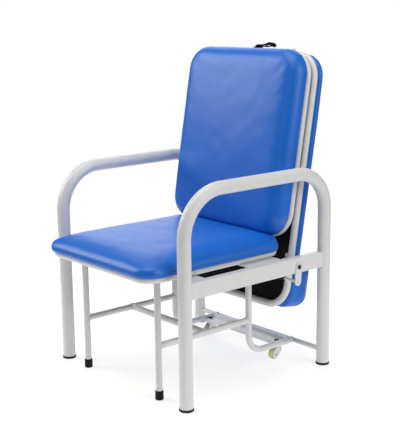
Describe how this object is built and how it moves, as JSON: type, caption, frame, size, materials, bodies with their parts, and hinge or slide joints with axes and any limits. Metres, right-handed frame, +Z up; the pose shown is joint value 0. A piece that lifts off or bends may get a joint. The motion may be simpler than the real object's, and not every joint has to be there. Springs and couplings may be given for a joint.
{
  "type": "folding attendant chair bed",
  "caption": "Steel-tube armchair with padded panels that unfold over a rolling carriage into a flat single bed.",
  "frame": {"origin": "on the floor under the middle of the chair's bounding box", "axes": "+Z up, the sitter faces -Y, +X to the camera-side arm"},
  "size_m": [0.644, 0.7244, 1.0105],
  "materials": {
    "frame_paint": "semi-gloss powder coat",
    "blue_vinyl": "smooth coated upholstery fabric",
    "black_board": "black faced plywood",
    "black_plastic": "moulded",
    "black_rubber": "moulded",
    "black_webbing": "woven strap",
    "zinc_steel": "zinc plated",
    "dark_steel": "black oxide",
    "caster_white": "pressed and painted",
    "caster_tread": "translucent polyurethane"
  },
  "bodies": {
    "arm_frame": {"left_arm_tube": "frame_paint", "right_arm_tube": "frame_paint", "left_crossbar": "frame_paint", "right_crossbar": "frame_paint", "rear_brace": "frame_paint", "foot_caps": "black_plastic", "seat_ledges": "frame_paint", "front_rests": "frame_paint", "stop_plates": "frame_paint", "pivot_bolts": "dark_steel", "pivot_spacers": "zinc_steel", "pivot_nuts": "zinc_steel", "stop_pins": "frame_paint", "stop_bumpers": "black_rubber"},
    "head_panel": {"head_board": "black_board", "head_board_screws": "zinc_steel", "head_board_tabs": "frame_paint", "head_cushion": "blue_vinyl", "head_frame": "frame_paint", "head_hinge_leaves": "frame_paint", "head_pillow": "blue_vinyl", "left_head_ear": "frame_paint", "right_head_ear": "frame_paint"},
    "back_panel": {"back_board": "black_board", "back_board_screws": "zinc_steel", "back_board_tabs": "frame_paint", "back_cushion": "blue_vinyl", "back_ears": "frame_paint", "back_frame": "frame_paint", "back_hinge_leaves": "frame_paint", "pull_strap": "black_webbing", "strap_clip": "zinc_steel", "apex_pins": "frame_paint"},
    "seat_carriage": {"caster_bar": "frame_paint", "caster_stems": "dark_steel", "front_bearer": "frame_paint", "left_front_leg": "frame_paint", "left_side_rail": "frame_paint", "left_skid_tube": "frame_paint", "leg_tips": "black_rubber", "middle_cross_tube": "frame_paint", "rear_bearer": "frame_paint", "rear_cross_tube": "frame_paint", "right_front_leg": "frame_paint", "right_side_rail": "frame_paint", "right_skid_tube": "frame_paint", "seat_board": "black_board", "seat_board_screws": "zinc_steel", "seat_board_tabs": "frame_paint", "seat_cushion": "blue_vinyl", "seat_ears": "frame_paint", "seat_frame": "frame_paint", "seat_pins": "zinc_steel", "skid_plugs": "black_plastic"},
    "left_caster": {"left_caster_fork": "caster_white", "left_caster_axle": "zinc_steel"},
    "left_wheel": {"left_caster_wheel": "caster_tread"},
    "right_caster": {"right_caster_fork": "caster_white", "right_caster_axle": "zinc_steel"},
    "right_wheel": {"right_caster_wheel": "caster_tread"}
  },
  "joints": [
    {"name": "head_fold", "type": "hinge", "parent": "arm_frame", "child": "head_panel", "pos_m": [0, 0.17901, 0.344], "axis": [1, 0, 0], "range_deg": [0, 100]},
    {"name": "apex_fold", "type": "hinge", "parent": "head_panel", "child": "back_panel", "pos_m": [0, 0.31531, 0.98456], "axis": [1, 0, 0], "range_deg": [-180, 0], "deforming": ["pull_strap"]},
    {"name": "seat_fold", "type": "hinge", "parent": "back_panel", "child": "seat_carriage", "pos_m": [0, 0.19383, 0.382], "axis": [1, 0, 0], "range_deg": [0, 80]},
    {"name": "left_caster_swivel", "type": "hinge", "parent": "seat_carriage", "child": "left_caster", "pos_m": [-0.162, 0.23683, 0], "axis": [0, 0, 1], "continuous": true},
    {"name": "left_wheel_spin", "type": "hinge", "parent": "left_caster", "child": "left_wheel", "pos_m": [-0.15963, 0.22, 0.017], "axis": [0.9903, 0.1392, 0], "continuous": true},
    {"name": "right_caster_swivel", "type": "hinge", "parent": "seat_carriage", "child": "right_caster", "pos_m": [0.162, 0.23683, 0], "axis": [0, 0, 1], "continuous": true},
    {"name": "right_wheel_spin", "type": "hinge", "parent": "right_caster", "child": "right_wheel", "pos_m": [0.16437, 0.22, 0.017], "axis": [0.9903, 0.1392, 0], "continuous": true}
  ],
  "couplings": [
    {"joint": "apex_fold", "follows": "head_fold", "ratio": -1.8},
    {"joint": "seat_fold", "follows": "head_fold", "ratio": 0.8}
  ]
}
